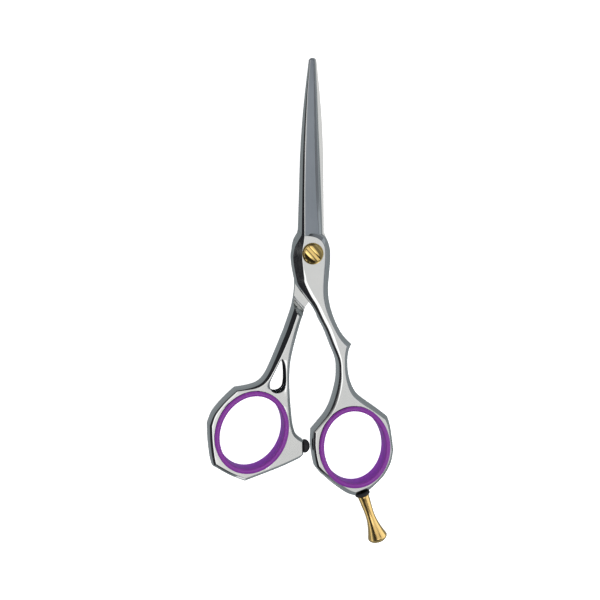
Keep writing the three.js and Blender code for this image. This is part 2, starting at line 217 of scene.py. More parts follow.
def eased(rings, lengths):
    """Rings along a profile, each an array of points, with every crease rounded: a ring V with a
    length e becomes a quadratic curve (1-t)^2 A + 2t(1-t) V + t^2 B, where A and B lie e towards
    its neighbours, or just under half-way where those are nearer."""
    made = []
    for k, (ring, length) in enumerate(zip(rings, lengths)):
        length = np.broadcast_to(length, (len(ring),))
        if k in (0, len(rings) - 1) or not length.any():
            made.append(ring)
            continue
        ends = []
        for other in (rings[k - 1], rings[k + 1]):
            away = other - ring
            size = np.linalg.norm(away, axis=1) + 1e-9
            ends.append(ring + away * (np.minimum(length, 0.45 * size) / size)[:, None])
        for t in np.linspace(0, 1, EASE_STEPS + 1):
            made.append((1 - t) ** 2 * ends[0] + 2 * t * (1 - t) * ring + t ** 2 * ends[1])
    return made


def unfolded(ring):
    """A ring whose offset overtook itself at a sharp corner: where its sides a-b and c-d, a few
    points apart, cross at t = ((c - a) x (d - c)) / ((b - a) x (d - c)) of a-b, the points
    between them are spread from a to that crossing and on to d. The narrow loops go first, and
    two more turns take up what the wide ones leave."""
    def cross(u, v):
        return u[:, 0] * v[:, 1] - u[:, 1] * v[:, 0]

    ring = ring.copy()
    for gap in LOOP_WIDTHS:
        a, c = ring[:, :2], np.roll(ring[:, :2], -gap, 0)
        b, d = np.roll(a, -1, 0), np.roll(c, -1, 0)
        flat = cross(b - a, d - c)
        flat = np.where(np.abs(flat) < 1e-12, np.inf, flat)
        t, u = cross(c - a, d - c) / flat, cross(c - a, b - a) / flat
        share = np.arange(1, gap + 1)[:, None]
        half = (gap + 1) // 2
        for k in np.flatnonzero((t > 0) & (t < 1) & (u > 0) & (u < 1)):
            start, end = ring[k, :2].copy(), ring[(k + gap + 1) % len(ring), :2].copy()
            corner = a[k] + t[k] * (b[k] - a[k])
            ring[(k + share[:, 0]) % len(ring), :2] = np.where(
                share <= half, start + (corner - start) * share / half,
                corner + (end - corner) * (share - half) / (gap + 1 - half))
    return ring


def ring_faces(count, rings, closed=False):
    """Quads between consecutive rings of COUNT points each, round and round; CLOSED joins the
    last ring to the first."""
    i = np.arange(count)
    k = np.arange(rings if closed else rings - 1)[:, None]
    here, over = k * count, (k + 1) % rings * count
    after = (i + 1) % count
    return np.stack([here + i, here + after, over + after, over + i], -1).reshape(-1, 4).tolist()


def cap(ring, first):
    """Triangles that fill a flat ring whose points are numbered from FIRST, clockwise as it is."""
    count = len(ring)
    edges = [(i, (i + 1) % count) for i in range(count)]
    _, _, made, origins, _, _ = delaunay_2d_cdt(
        [Vector(point) for point in ring[:, :2].tolist()], edges, [], 1, 1e-9)
    lone = [origin for origin in origins if len(origin) != 1]
    if lone:
        raise ValueError(f"a cap's ring crosses or touches itself {len(lone)} times")
    return [[first + origins[corner][0] for corner in face] for face in made]


def plate(name, stretches, *finishes):
    """A ground plate. Each outline row is x, y, how far the wall stops below the face, the width
    of the chamfer and how far its inner edge is below the face, the ridge's offset, and the width
    of the gentle crown from the ridge to the flat face. The crown falls by CROWN_SLOPE of its
    width, and the crease where it meets the face is eased over 0.4 of it. A point of the outline
    goes inwards by its mitre, (m + n) / (1 + m.n) for the normals m and n of its two sides, and
    1 + m.n is held to 0.4 at the sharpest corners. The underside has a plain bevel."""
    rows = np.vstack([smooth_run(stretch) for stretch in stretches])
    flat = rows[:, :2]
    sides = np.roll(flat, -1, 0) - flat
    sides /= np.linalg.norm(sides, axis=1)[:, None]
    normal = np.column_stack([sides[:, 1], -sides[:, 0]])
    before = np.roll(normal, 1, 0)
    mitre = (normal + before) / np.maximum(0.4, 1 + (normal * before).sum(1))[:, None]
    wall, chamfer, drop, ridge, crown = rows[:, 2:].T
    bevel_width, bevel_height = 1.0, 1.1

    def ring(offset, height):
        height = np.broadcast_to(height, (len(flat),))
        return unfolded(np.column_stack([flat + mitre * np.reshape(offset, (-1, 1)), height]))

    rings = eased(
        [ring(bevel_width + 0.3, 0), ring(bevel_width, 0), ring(0, bevel_height),
         ring(0, THICKNESS - wall), ring(chamfer, THICKNESS - drop),
         ring(ridge, THICKNESS - CROWN_SLOPE * crown), ring(ridge + crown, THICKNESS),
         ring(1.2 * crown + ridge + 0.1, THICKNESS)],
        [0, SOFT_EDGE, SOFT_EDGE, SOFT_EDGE, SOFT_EDGE, SOFT_EDGE, SOFT_EDGE + 0.4 * crown, 0])[1:-1]
    rings[0], rings[-1] = unfolded(rings[0]), unfolded(rings[-1])
    count = len(flat)
    faces = [face[::-1] for face in ring_faces(count, len(rings)) + cap(rings[0], 0)]
    faces += cap(rings[-1], (len(rings) - 1) * count)
    return mesh_object(name, np.vstack(rings), faces, *finishes)


def drawn(name, rings, *finishes):
    """A solid drawn through rings of points, anticlockwise from below, with a flat face at each
    end."""
    count, last = len(rings[0]), (len(rings) - 1) * len(rings[0])
    faces = ring_faces(count, len(rings))
    faces += [list(range(count))[::-1], list(range(last, last + count))]
    return mesh_object(name, np.vstack(rings), faces, *finishes)


def carve(base, tool, operation):
    """Cuts the tool away from the base, or joins it on. The tool is used up."""
    cut = base.modifiers.new("cut", "BOOLEAN")
    cut.operation, cut.solver, cut.object = operation, "MANIFOLD", tool
    bpy.context.view_layer.update()
    made = bpy.data.meshes.new_from_object(base.evaluated_get(bpy.context.evaluated_depsgraph_get()))
    base.modifiers.clear()
    base.data = made
    bpy.data.objects.remove(tool)


def prism(name, profile, start, end):
    """A cutter of one side view, rows of distance across the line from start to end and height,
    drawn out along that line and well past both its ends."""
    start, end = np.array(start, float), np.array(end, float)
    along = (end - start) / np.linalg.norm(end - start)
    across = np.array([-along[1], along[0]])
    past = 60
    profile = np.array(profile, float)
    return drawn(name, [np.column_stack([corner + profile[:, :1] * across, profile[:, 1]])
                        for corner in (start - past * along, end + past * along)])


def turned(name, profile, axis, seat, *finishes):
    """A surface of revolution: profile rows of radius and distance along the axis, turned round
    it from the seat. Rows of radius 0 close the ends."""
    profile = np.array(profile, float)
    axis = np.array(axis, float) / np.linalg.norm(axis)
    side = np.cross([0, 0, 1] if abs(axis[2]) < 0.9 else [0, 1, 0], axis)
    side /= np.linalg.norm(side)
    other = np.cross(axis, side)
    angle = np.linspace(0, 2 * np.pi, TURNED_SIDES, endpoint=False)[:, None]
    spokes = np.cos(angle) * side + np.sin(angle) * other
    middle = profile[profile[:, 0] > 0]
    rings = [seat + radius * spokes + along * axis for radius, along in middle]
    faces = ring_faces(TURNED_SIDES, len(rings), closed=len(middle) == len(profile))
    points = np.vstack(rings)
    if len(middle) < len(profile):
        ends = np.array([seat + profile[0, 1] * axis, seat + profile[-1, 1] * axis])
        points = np.vstack([points, ends])
        i = np.arange(TURNED_SIDES)
        after, low, top = (i + 1) % TURNED_SIDES, len(points) - 2, len(points) - 1
        over = (len(rings) - 1) * TURNED_SIDES
        faces += np.column_stack([np.full(TURNED_SIDES, low), after, i]).tolist()
        faces += np.column_stack([np.full(TURNED_SIDES, top), over + i, over + after]).tolist()
    return mesh_object(name, points, faces, *finishes)


def round_hole(profile, sides, half_width, half_length, centre, degrees):
    """Rings round a finger hole: x = (w + o) cos t and y = (l + o) sin t for the profile's rows of
    offset o and height, turned by the hole's angle and set at its centre."""
    t = np.linspace(0, 2 * np.pi, sides, endpoint=False)
    turn = np.radians(degrees)
    offset, z = np.array(profile, float).T[:, :, None]
    x, y = (half_width + offset) * np.cos(t), (half_length + offset) * np.sin(t)
    return np.stack([centre[0] + x * np.cos(turn) - y * np.sin(turn),
                     centre[1] + x * np.sin(turn) + y * np.cos(turn), z + 0 * x], -1)


def across_blade(line, y):
    """The x of a smooth curve through [y, x] pairs, at every y."""
    points = smooth_run([*line, [line[-1][0] + 1, line[-1][1]]], 0.05)
    return np.interp(y, points[:, 0], points[:, 1])


BACK = [[0, -4.5], [7.5, -4.25], [20, -3.85], [30, -3.55], [40, -2.95], [50, -2.0], [60, -0.8]]
RIDGE = [[0, -2.6], [7.5, -2.5], [20, -2.4], [30, -2.15], [40, -1.75], [50, -1.3], [60, -0.5]]
EDGE = [[0, 3.8], [7.5, 3.6], [20, 3.15], [30, 2.75], [40, 2.3], [50, 1.9], [60, 1.4]]
SATIN = [[0, 0.79], [7.5, 0.77], [14, 0.71], [25, 0.67], [40, 0.67], [60, 0.66]]
ROOT_Y = 3.2
TIP_Y = 60.95
TIP_X = 0.45
RIDGE_TOP = 5.85
RIDGE_FALL = 1.95


def blade(name, place):
    """A blade drawn through its sections: a back, a steep chamfer, a ridge, the satin face down to
    two thirds of the way to the edge, a polished band and the cutting bevel. The ridge
    falls by the 0.8 power of the way to the tip, and over the last millimetre the section
    shrinks towards the tip by the square root of 1 - d^2, d being the way into it."""
    y = np.concatenate([np.linspace(ROOT_Y, TIP_Y - 1, 90),
                        TIP_Y - 1 + np.sin(np.linspace(0, np.pi / 2, 14)[1:]) * 0.985])
    held = np.minimum(y, TIP_Y - 1)
    rounded = np.sqrt(1 - np.clip(y - TIP_Y + 1, 0, 1) ** 2)
    back, ridge, edge = (across_blade(line, held) for line in (BACK, RIDGE, EDGE))
    height = RIDGE_TOP - RIDGE_FALL * (np.maximum(0, held - 5) / (TIP_Y - 5)) ** 0.8
    fall = (height - UPPER_FLOOR) * (0.4 + 0.6 * rounded)
    top = UPPER_FLOOR + fall
    span = edge - ridge
    satin = across_blade(SATIN, held)

    def line(x, z):
        return np.column_stack([TIP_X + (x - TIP_X) * rounded, y, z])

    rings = eased(
        [line(0.5 * (back + edge), UPPER_FLOOR + 0 * y), line(back, UPPER_FLOOR + 0 * y),
         line(back, UPPER_FLOOR + 0.2 * fall),
         line(back + 0.48 * (ridge - back), top - 0.17 * fall), line(ridge, top),
         line(ridge + satin * span, top - 0.30 * fall),
         line(ridge + (0.55 + 0.45 * satin) * span, top - (0.32 + 0.16 * satin / 0.67) * fall),
         line(edge, UPPER_FLOOR + 0.12 * fall),
         line(edge, UPPER_FLOOR + 0 * y), line(0.5 * (back + edge), UPPER_FLOOR + 0 * y)],
        [0, 0, 0.1, 0.12, 0.13, 0.2, 0.1, 0.03, 0, 0])[1:-1]
    sections = np.array(rings).transpose(1, 0, 2)
    return drawn(name, np.stack(place(*np.moveaxis(sections, -1, 0)), -1))


FINGER_OUTLINE = [
    [[-4.3, 7.4, 2.2, 1.2, 0.45, 1.75, 0.06], [-3.5, 7.4, 2.6, 1.45, 1.5, 1.75, 0.06],
     [-0.8, 7.25, 2.6, 0.9, 0.5, 1.7, 0.06], [2.0, 6.6, 2.6, 0.55, 0.52, 1.8, 0.06],
     [4.2, 5.4, 2.4, 0.6, 0.6, 2.0, 0.08]],
    [[4.2, 5.4, 2.4, 0.6, 0.6, 2.0, 0.08], [5.1, 4.0, 2.0, 0.8, 0.9, 1.8, 0.3],
     [5.75, 2.2, 1.9, 0.8, 0.95, 1.7, 0.45], [6.1, 0, 1.8, 0.8, 0.9, 1.7, 0.6],
     [6.05, -3, 1.8, 0.8, 0.9, 1.7, 0.6], [5.75, -7, 1.8, 0.8, 0.9, 1.7, 0.6],
     [5.45, -11, 1.8, 0.75, 0.9, 1.6, 0.6], [5.6, -14.5, 1.8, 0.75, 0.9, 1.6, 0.6],
     [6.3, -18, 1.8, 0.75, 0.9, 1.55, 0.5], [7.6, -21.8, 1.8, 0.7, 0.9, 1.4, 0.4],
     [9.3, -25.3, 1.8, 0.7, 0.9, 1.35, 0.4], [11.1, -27.8, 1.8, 0.7, 0.9, 1.45, 0.45],
     [13.1, -29.8, 1.8, 0.7, 0.9, 1.45, 0.45]],
    [[13.1, -29.8, 1.8, 0.7, 0.9, 1.45, 0.45], [12.3, -31.7, 1.8, 0.7, 0.9, 1.3, 0.25],
     [11.85, -34.5, 1.8, 0.6, 0.85, 1.2, 0.2], [12, -38.5, 1.8, 0.6, 0.85, 1.2, 0.2],
     [12.8, -42, 1.8, 0.65, 0.9, 1.25, 0.3], [14.3, -45.2, 1.8, 0.7, 0.9, 1.35, 0.4],
     [16.6, -47.6, 1.7, 0.65, 0.85, 1.3, 0.35], [21, -50.9, 1.6, 0.6, 0.8, 1.2, 0.2],
     [25.1, -54.1, 1.5, 0.6, 0.75, 1.2, 0.1]],
    [[25.1, -54.1, 1.5, 0.6, 0.75, 1.2, 0.1], [26.0, -57.2, 1.4, 0.5, 0.7, 1.05, 0.1],
     [26.7, -61.5, 1.4, 0.5, 0.7, 1.0, 0.1], [27.2, -65.4, 1.4, 0.5, 0.7, 1.0, 0.1]],
    [[27.2, -65.4, 1.4, 0.5, 0.7, 1.0, 0.1], [26.4, -69.6, 1.5, 0.6, 0.75, 1.2, 0.1],
     [24.4, -73.5, 1.6, 0.65, 0.8, 1.3, 0.1], [22, -76.1, 1.6, 0.6, 0.8, 1.2, 0.1],
     [19.6, -78.2, 1.6, 0.6, 0.8, 1.4, 0.1]],
    [[19.6, -78.2, 1.6, 0.6, 0.8, 1.4, 0.1], [14.4, -80.0, 1.6, 0.6, 0.8, 1.33, 0.1]],
    [[14.4, -80.0, 1.6, 0.6, 0.8, 1.33, 0.1], [11.8, -79.0, 1.6, 0.5, 0.75, 1.36, 0.1],
     [7.9, -76.2, 1.5, 0.4, 0.6, 1.3, 0.1], [3.2, -72, 1.4, 0.3, 0.45, 1.2, 0.1],
     [1.3, -69.7, 1.4, 0.3, 0.35, 1.1, 0.1]],
    [[1.3, -69.7, 1.4, 0.3, 0.35, 1.1, 0.1], [0.55, -66, 1.4, 0.3, 0.3, 1.0, 0.1],
     [0.1, -62, 1.4, 0.3, 0.3, 1.0, 0.1], [0.2, -57.6, 1.5, 0.3, 0.3, 1.1, 0.1]],
    [[0.2, -57.6, 1.5, 0.3, 0.3, 1.1, 0.1], [2.9, -54.5, 1.6, 0.3, 0.35, 1.2, 0.1],
     [4.8, -52.1, 1.6, 0.3, 0.4, 1.3, 0.1], [6.3, -49.2, 1.6, 0.3, 0.45, 1.4, 0.1],
     [7.4, -45.9, 1.6, 0.3, 0.45, 1.4, 0.2], [8.3, -42, 1.5, 0.25, 0.4, 1.2, 0.3],
     [8.55, -38.4, 1.4, 0.25, 0.35, 1.0, 0.3], [8.2, -34.7, 1.2, 0.25, 0.35, 1.0, 0.35],
     [6.3, -29.8, 1.1, 0.25, 0.35, 1.05, 0.65], [4.5, -25.2, 1.1, 0.25, 0.35, 1.05, 0.75],
     [2.6, -21.5, 1.1, 0.25, 0.36, 1.1, 0.75], [0.4, -17.4, 1.3, 0.3, 0.45, 1.3, 0.75],
     [-2.1, -14.1, 1.6, 0.4, 0.6, 1.75, 0.8], [-4.9, -10.2, 2.0, 0.5, 0.9, 2.7, 0.6],
     [-5.6, -7.8, 2.2, 0.5, 1.0, 3.0, 0.4],
     [-6.15, -5, 2.2, 0.5, 1.05, 3.2, 0.1], [-6.55, -2, 2.2, 0.5, 1.1, 3.3, 0.08],
     [-6.5, 0, 2.2, 0.5, 1.05, 3.2, 0.08], [-6.0, 2.4, 2.2, 0.55, 0.95, 3.0, 0.08],
     [-5.2, 4.4, 2.2, 0.75, 0.75, 2.55, 0.08], [-4.6, 6.0, 2.2, 1.0, 0.55, 2.05, 0.06],
     [-4.3, 7.4, 2.2, 1.2, 0.45, 1.75, 0.06]],
]
FINGER_HOLE = {"half_width": 10.9, "half_length": 12.8, "centre": (13.95, -63.45), "degrees": 9.5}
HOLE_SIDES = 192
CATCH_RIMS = [[0.9, -1], [0.9, 0], [0, 0.9], [0, THICKNESS - 0.2], [0.05, THICKNESS - 0.08],
              [0.2, THICKNESS], [0.2, THICKNESS + 1]]
SEAT = np.array([17.0, -79.1, 3.35])
SEAT_OUT = np.array([1.8, -5.2, 0]) / np.linalg.norm([1.8, -5.2, 0])

LINE_DEPTH = 0.02 * MM
grain = bpy.data.node_groups.new("grinding_lines", "ShaderNodeTree")
grain.interface.new_socket("Across", in_out="INPUT", socket_type="NodeSocketVector")
grain.interface.new_socket("Fineness", in_out="INPUT", socket_type="NodeSocketFloat")
grain.interface.new_socket("Lines", in_out="OUTPUT", socket_type="NodeSocketFloat")
grain.interface.new_socket("Smudge", in_out="OUTPUT", socket_type="NodeSocketFloat")
nodes, links = grain.nodes, grain.links
into, out = nodes.new("NodeGroupInput"), nodes.new("NodeGroupOutput")
coords = nodes.new("ShaderNodeTexCoord")
stretch = nodes.new("ShaderNodeVectorMath")
stretch.operation = "MULTIPLY"
lines = nodes.new("ShaderNodeTexNoise")
lines.inputs["Detail"].default_value = 3
smudge = nodes.new("ShaderNodeTexNoise")
smudge.inputs["Scale"].default_value = 160
smudge.inputs["Detail"].default_value = 4
links.new(coords.outputs["Object"], stretch.inputs[0])
links.new(into.outputs["Across"], stretch.inputs[1])
links.new(stretch.outputs[0], lines.inputs["Vector"])
links.new(into.outputs["Fineness"], lines.inputs["Scale"])
links.new(coords.outputs["Object"], smudge.inputs["Vector"])
links.new(lines.outputs["Fac"], out.inputs["Lines"])
links.new(smudge.outputs["Fac"], out.inputs["Smudge"])


def worked(name, colour, deep, roughness, metallic, across, fineness, bump):
    """A finish whose colour drifts between two tones with soft smudges, over fine lines in relief
    that run across the given direction. It is handed back with its nodes, links and lines."""
    made, shader, nodes, links = material(name, roughness, metallic)
    lines = nodes.new("ShaderNodeGroup")
    lines.node_tree = grain
    lines.inputs["Across"].default_value = across
    lines.inputs["Fineness"].default_value = fineness
    tint = nodes.new("ShaderNodeMix")
    tint.data_type = "RGBA"
    tint.inputs["A"].default_value = (*deep, 1)
    tint.inputs["B"].default_value = (*colour, 1)
    links.new(lines.outputs["Smudge"], tint.inputs[0])
    links.new(tint.outputs["Result"], shader.inputs["Base Color"])
    height = nodes.new("ShaderNodeBump")
    height.inputs["Strength"].default_value = bump
    height.inputs["Distance"].default_value = LINE_DEPTH
    links.new(lines.outputs["Lines"], height.inputs["Height"])
    links.new(height.outputs[0], shader.inputs["Normal"])
    return made, shader, nodes, links, lines


def metal(name, colour, deep, roughness, spread, across, fineness, bump):
    """Polished or ground metal: worked in fine lines, and rougher by the spread between them."""
    made, shader, nodes, links, lines = worked(
        name, colour, deep, roughness, 1.0, across, fineness, bump)
    rough = nodes.new("ShaderNodeMapRange")
    rough.inputs["From Min"].default_value = 0.3
    rough.inputs["From Max"].default_value = 0.7
    rough.inputs["To Min"].default_value = roughness
    rough.inputs["To Max"].default_value = roughness + spread
    links.new(lines.outputs["Lines"], rough.inputs["Value"])
    links.new(rough.outputs[0], shader.inputs["Roughness"])
    return made


polished_steel = metal(
    "polished_steel", (0.70, 0.70, 0.69), (0.62, 0.63, 0.63), 0.10, 0.05, (3, 1, 1), 500, 0.08)
satin_steel = metal(
    "satin_steel", (0.51, 0.545, 0.585), (0.45, 0.485, 0.525), 0.30, 0.08, (0.6, 12, 1), 500, 0.15)


def face_places(data):
    """The centre, in millimetres, and the normal of every face of a mesh."""
    centre, normal = np.empty((2, len(data.polygons) * 3))
    data.polygons.foreach_get("center", centre)
    data.polygons.foreach_get("normal", normal)
    return centre.reshape(-1, 3) / MM, normal.reshape(-1, 3)


def finish_half(half, blade_of, body):
    """The satin finish on the blade's broad face, creases that stay crisp where two cuts meet, and
    the half's place in the assembly. A face of the mesh is satin where its centre, taken into the
    upper blade's place, is between the ridge and the polished band and it doesn't lean along Y."""
    data = half.data
    centre, normal = face_places(data)
    x, y, z = blade_of(*centre.T)
    ridge, edge = across_blade(RIDGE, y), across_blade(EDGE, y)
    share = (x - ridge) / (edge - ridge)
    satin = (share > 0.02) & (share < across_blade(SATIN, y) - 0.005) & (np.abs(normal[:, 1]) < 0.12)
    satin &= (y > 5) & (z > UPPER_FLOOR + 0.4) & (z < THICKNESS - 0.03)
    data.polygons.foreach_set("material_index", satin.astype(int))
    data.polygons.foreach_set("use_smooth", np.ones(len(data.polygons), bool))
    data.set_sharp_from_angle(angle=np.radians(30))
    flat_faces = half.modifiers.new("flat_faces", "WEIGHTED_NORMAL")
    flat_faces.mode = "FACE_AREA"
    flat_faces.weight = 70
    flat_faces.keep_sharp = True
    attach(half, body)
    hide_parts(half.name.replace("_steel", "_half"))


finger_half = plate("finger_steel", FINGER_OUTLINE, polished_steel, satin_steel)
for tool, operation in [
    (prism("step", [[60, -1], [60, UPPER_FLOOR], [0, UPPER_FLOOR], [-2.5, 0], [-2.5, -1]],
           [1.6, -19.6], [6.6, -15.4]), "DIFFERENCE"),
    (blade("blade", lambda x, y, z: (x, y, z)), "UNION"),
    (drawn("hole", round_hole(CATCH_RIMS, HOLE_SIDES, **FINGER_HOLE)), "DIFFERENCE"),
    (turned("bore", [[0, 0], [3.1, 0], [3.1, 4.9], [3.3, 4.9], [3.3, 7], [0, 7]],
            [0, 0, 1], np.zeros(3)), "DIFFERENCE"),
    (turned("stud_hole", [[0, -2.3], [1.3, -2.3], [1.3, 1], [0, 1]], SEAT_OUT, SEAT),
     "DIFFERENCE"),
]:
    carve(finger_half, tool, operation)
finish_half(finger_half, lambda x, y, z: (x, y, z), "finger_side")


# Thumb half.
# The lower half, from the same steel: its blade is the upper one turned over, its handle rises
# past the ride by a ground hollow, and it has a drop-shaped window and a boss for the bumper.
THUMB_OUTLINE = [
    [[-4.1, 6.2, 1.8, 0.5, 0.9, 1.0, 0.1], [-1.0, 6.4, 1.8, 0.5, 0.9, 1.0, 0.1],
     [2.0, 6.3, 1.8, 0.5, 0.9, 1.0, 0.1], [4.5, 6.0, 1.8, 0.5, 0.9, 1.0, 0.1]],
    [[4.5, 6.0, 1.8, 0.5, 0.9, 1.0, 0.1], [5.2, 4.2, 1.8, 0.5, 0.9, 1.0, 0.1],
     [5.7, 2.2, 1.8, 0.5, 0.9, 1.0, 0.1], [5.9, 0, 1.8, 0.5, 0.9, 1.0, 0.1],
     [5.7, -3.5, 1.8, 0.5, 0.9, 1.0, 0.1], [5.0, -8, 1.8, 0.5, 0.9, 1.0, 0.1],
     [2.4, -12.4, 1.8, 0.5, 0.9, 1.0, 0.1], [-1.3, -16.9, 1.6, 0.5, 0.75, 1.1, 0.3],
     [-3.05, -20.5, 1.6, 0.5, 0.75, 1.1, 0.3], [-4.75, -26, 1.6, 0.5, 0.75, 1.1, 0.4],
     [-6.3, -32, 1.6, 0.5, 0.75, 1.1, 0.3], [-7.05, -36.5, 1.5, 0.45, 0.7, 1.0, 0.15],
     [-7.2, -41, 1.5, 0.45, 0.7, 0.95, 0.1], [-7.0, -46, 1.6, 0.5, 0.75, 1.1, 0.2],
     [-6.55, -52, 1.6, 0.5, 0.75, 1.1, 0.25], [-6.1, -55.5, 1.5, 0.5, 0.75, 1.1, 0.2],
     [-5.4, -57.9, 1.4, 0.5, 0.7, 1.0, 0.1], [-4.3, -59.4, 1.3, 0.4, 0.65, 0.8, 0.1],
     [-2.8, -60.6, 1.2, 0.3, 0.6, 0.6, 0.1]],
    [[-2.8, -60.6, 1.2, 0.3, 0.6, 0.6, 0.1], [-2.75, -65.2, 1.2, 0.3, 0.6, 0.6, 0.1]],
    [[-2.75, -65.2, 1.2, 0.3, 0.6, 0.6, 0.1], [-4.2, -66.6, 1.5, 0.5, 0.75, 1.0, 0.1],
     [-9.5, -68.9, 1.6, 0.55, 0.8, 1.1, 0.1], [-14, -70.5, 1.6, 0.55, 0.8, 1.1, 0.1],
     [-21.8, -73.1, 1.6, 0.55, 0.7, 1.1, 0.1]],
    [[-21.8, -73.1, 1.6, 0.5, 0.6, 1.1, 0.1], [-26.8, -70.8, 1.5, 0.3, 0.4, 1.1, 0.12],
     [-32.2, -67.4, 1.5, 0.3, 0.4, 1.1, 0.12]],
    [[-32.2, -67.4, 1.5, 0.3, 0.4, 1.1, 0.12], [-32.8, -64.5, 1.5, 0.3, 0.38, 1.1, 0.15],
     [-33.35, -59.3, 1.5, 0.3, 0.38, 1.1, 0.2], [-33.5, -54.1, 1.5, 0.3, 0.38, 1.05, 0.2]],
    [[-33.5, -54.1, 1.5, 0.3, 0.38, 1.05, 0.2], [-31.9, -50.2, 1.5, 0.3, 0.35, 0.85, 0.25],
     [-28.6, -46.3, 1.4, 0.3, 0.3, 0.7, 0.3], [-24.6, -42.7, 1.4, 0.3, 0.3, 0.65, 0.3]],
    [[-24.6, -42.7, 1.4, 0.3, 0.3, 0.65, 0.3], [-21.3, -42.3, 1.4, 0.3, 0.35, 0.75, 0.35],
     [-18.6, -41.7, 1.5, 0.3, 0.45, 1.0, 0.35], [-16.6, -40.7, 1.6, 0.3, 0.5, 1.1, 0.2],
     [-15.1, -39, 1.7, 0.3, 0.55, 1.25, 0.15], [-13.7, -36.5, 1.8, 0.3, 0.6, 1.35, 0.1],
     [-11.5, -31.5, 2.1, 0.35, 0.75, 1.7, 0.1], [-9.95, -27.8, 2.2, 0.35, 0.8, 1.8, 0.1],
     [-8.6, -24.5, 2.2, 0.35, 0.8, 1.8, 0.1], [-7.5, -21.4, 2.2, 0.35, 0.8, 1.8, 0.1],
     [-6.5, -18.5, 2.2, 0.35, 0.8, 1.8, 0.1], [-5.85, -16.1, 2.0, 0.4, 0.8, 1.65, 0.1],
     [-5.35, -13.2, 1.8, 0.5, 0.9, 1.0, 0.1], [-5.1, -10.5, 1.8, 0.5, 0.9, 1.0, 0.1],
     [-5.2, -8, 1.8, 0.5, 0.9, 1.0, 0.1], [-5.5, -5, 1.8, 0.5, 0.9, 1.0, 0.1],
     [-5.9, -2, 1.8, 0.5, 0.9, 1.0, 0.1], [-5.95, 0, 1.8, 0.5, 0.9, 1.0, 0.1],
     [-5.8, 2.2, 1.8, 0.5, 0.9, 1.0, 0.1], [-5.2, 4.4, 1.8, 0.5, 0.9, 1.0, 0.1],
     [-4.1, 6.2, 1.8, 0.5, 0.9, 1.0, 0.1]],
]
WINDOW = [
    [-9.75, -33.5], [-8.9, -35.4], [-8.6, -39], [-8.8, -42.4], [-9.7, -43.95], [-11.6, -44.5],
    [-13.2, -43.7], [-13.8, -42], [-13.45, -40.3], [-11.8, -37], [-10.45, -34.3], [-9.75, -33.5],
]
THUMB_HOLE = {"half_width": 10.9, "half_length": 12.8, "centre": (-19.7, -56.9), "degrees": -20.8}
BOSS = np.array([-2.78, -62.9, THICKNESS / 2])
BOSS_OUT = np.array([1.0, 0, 0])


def turned_over(x, y, z):
    """The upper blade's point in the lower one, and back again: x goes to the other side of the
    pair's leaning middle line, and z is measured from the other face."""
    return 2 * (0.05 + 0.0094 * (y - 10)) - x, y, THICKNESS - z


def window_plug(name):
    """A cutter of the drop-shaped window's outline, drawn from below the plate to above it. At
    both faces it is flared by up to 0.14 mm, each point going out along the outline's normal
    there."""
    flat = smooth_run(WINDOW)[::-1]
    sides = np.roll(flat, -1, 0) - np.roll(flat, 1, 0)
    outwards = np.column_stack([sides[:, 1], -sides[:, 0]]) / np.linalg.norm(sides, axis=1)[:, None]
    rims = [[0.14, -1], [0.14, 0], [0.04, 0.05], [0, 0.14], [0, THICKNESS - 0.14],
            [0.04, THICKNESS - 0.05], [0.14, THICKNESS], [0.14, THICKNESS + 1]]
    return drawn(name, [np.column_stack([flat + outwards * rim, np.full(len(flat), z)])
                        for rim, z in rims])


def hollow(run):
    """The side view of the hollow above the lower layer: z rises by the 1.7 power of the way back
    along the run, like the mark of a small grinding wheel."""
    t = np.linspace(0, 1, 10)
    rise = np.column_stack([-run * t, LAYER + (THICKNESS - LAYER) * t ** 1.7])
    return [[60, LAYER], [60, THICKNESS + 1], [-run - 0.25, THICKNESS + 1],
            [-run - 0.25, THICKNESS], [-run - 0.08, THICKNESS - 0.06], *rise[-2::-1].tolist()]


# Painted shade: a dark steel colour and dim specular tint for the window's inner walls, standing in
# for the shade inside the window. It is also rougher than the polished steel.
shaded_window_wall = metal(
    "forged_steel", (0.16, 0.165, 0.17), (0.10, 0.105, 0.11), 0.28, 0.1, (1, 1, 1), 700, 0.2)
shaded_window_wall.node_tree.nodes["Principled BSDF"].inputs["Specular Tint"].default_value = (
    0.15, 0.15, 0.16, 1)

thumb_half = plate("thumb_steel", THUMB_OUTLINE, polished_steel, satin_steel, shaded_window_wall)
for tool, operation in [
    (prism("step", hollow(3.0), [-5.7, -13.3], [-2.0, -17.6]), "DIFFERENCE"),
    (blade("blade", turned_over), "UNION"),
    (drawn("hole", round_hole(CATCH_RIMS, HOLE_SIDES, **THUMB_HOLE)), "DIFFERENCE"),
    (window_plug("window"), "DIFFERENCE"),
    (turned("bore", [[0, -1], [2.7, -1], [2.7, 1.25], [1.8, 1.25], [1.8, 2.2], [4.5, 2.2],
                     [4.5, 5], [0, 5]], [0, 0, 1], np.zeros(3)), "DIFFERENCE"),
    (turned("stem_hole", [[0, -2.9], [1.4, -2.9], [1.4, 1], [0, 1]], BOSS_OUT, BOSS),
     "DIFFERENCE"),
]:
    carve(thumb_half, tool, operation)
finish_half(thumb_half, turned_over, "thumb_side")

# The steep faces next to the drop-shaped window's outline get the darker, rougher steel: its dark
# colour is painted shade for the inside of the narrow window.
centre, normal = face_places(thumb_half.data)
finish = np.empty(len(centre), int)
thumb_half.data.polygons.foreach_get("material_index", finish)
to_window = np.linalg.norm(centre[:, None, :2] - smooth_run(WINDOW)[:, :2], axis=2).min(1)
finish[(to_window < 0.4) & (np.abs(normal[:, 2]) < 0.3)] = 2
thumb_half.data.polygons.foreach_set("material_index", finish)


